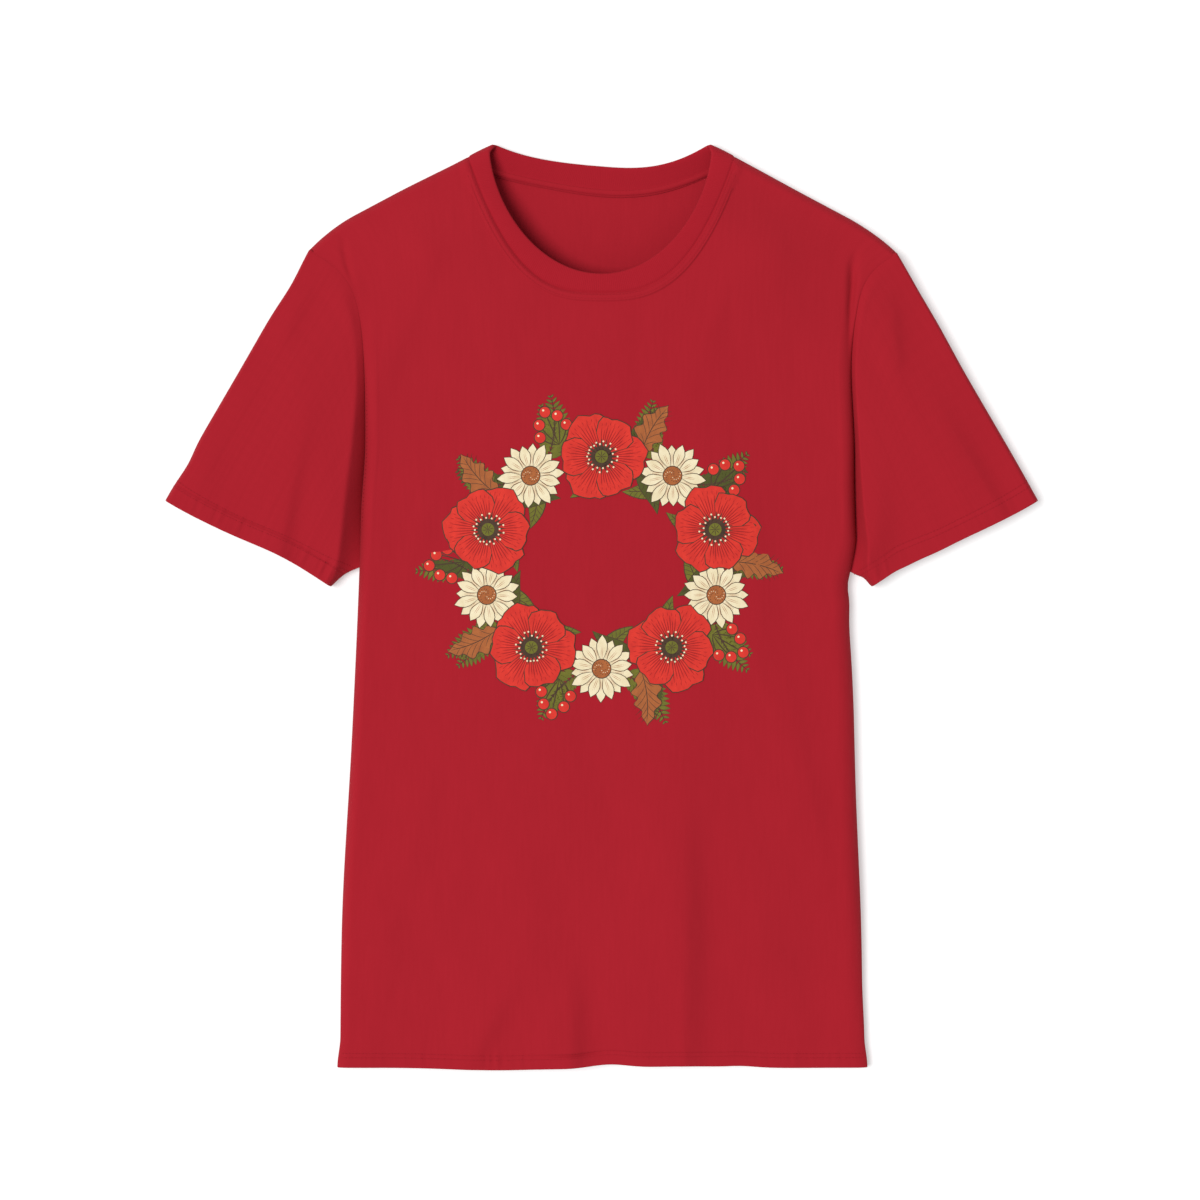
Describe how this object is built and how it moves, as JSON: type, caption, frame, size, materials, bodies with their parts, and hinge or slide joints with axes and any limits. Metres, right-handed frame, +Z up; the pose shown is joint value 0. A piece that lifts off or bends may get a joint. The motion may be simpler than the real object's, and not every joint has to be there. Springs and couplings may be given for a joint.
{
  "type": "crew-neck T-shirt",
  "caption": "Short-sleeved crew-neck T-shirt in knitted cotton, lying flat on its back, with open neck, sleeves and hem.",
  "frame": {"origin": "middle of the footprint, on the surface that the shirt lies on", "axes": "+Y from the hem to the neck, +Z up out of the wearer's front, +X to the wearer's left"},
  "size_m": [0.6898, 0.73, 0.0279],
  "materials": {
    "jersey": "deep red single-jersey cotton, fine knit, matt with a soft nap",
    "rib_knit": "deep red 1x1 rib knit, matt, folded double",
    "sewing_thread": "red polyester sewing thread with a faint sheen",
    "print_ink": "thin matt screen-printed ink that follows the knit, in red, cream, olive, rust and dark brown"
  },
  "bodies": {
    "root": {"front_panel": "jersey", "back_panel": "jersey", "left_sleeve": "jersey", "right_sleeve": "jersey", "neckband": "rib_knit", "neck_tape": "jersey", "neckband_seam_thread": "sewing_thread", "neckline_topstitching": "sewing_thread", "neck_tape_stitching": "sewing_thread", "left_shoulder_seam_thread": "sewing_thread", "right_shoulder_seam_thread": "sewing_thread", "left_armhole_seam_thread": "sewing_thread", "right_armhole_seam_thread": "sewing_thread", "left_side_seam_thread": "sewing_thread", "right_side_seam_thread": "sewing_thread", "left_underarm_seam_thread": "sewing_thread", "right_underarm_seam_thread": "sewing_thread", "left_sleeve_hem_stitching": "sewing_thread", "right_sleeve_hem_stitching": "sewing_thread", "body_hem_stitching": "sewing_thread"}
  },
  "joints": []
}
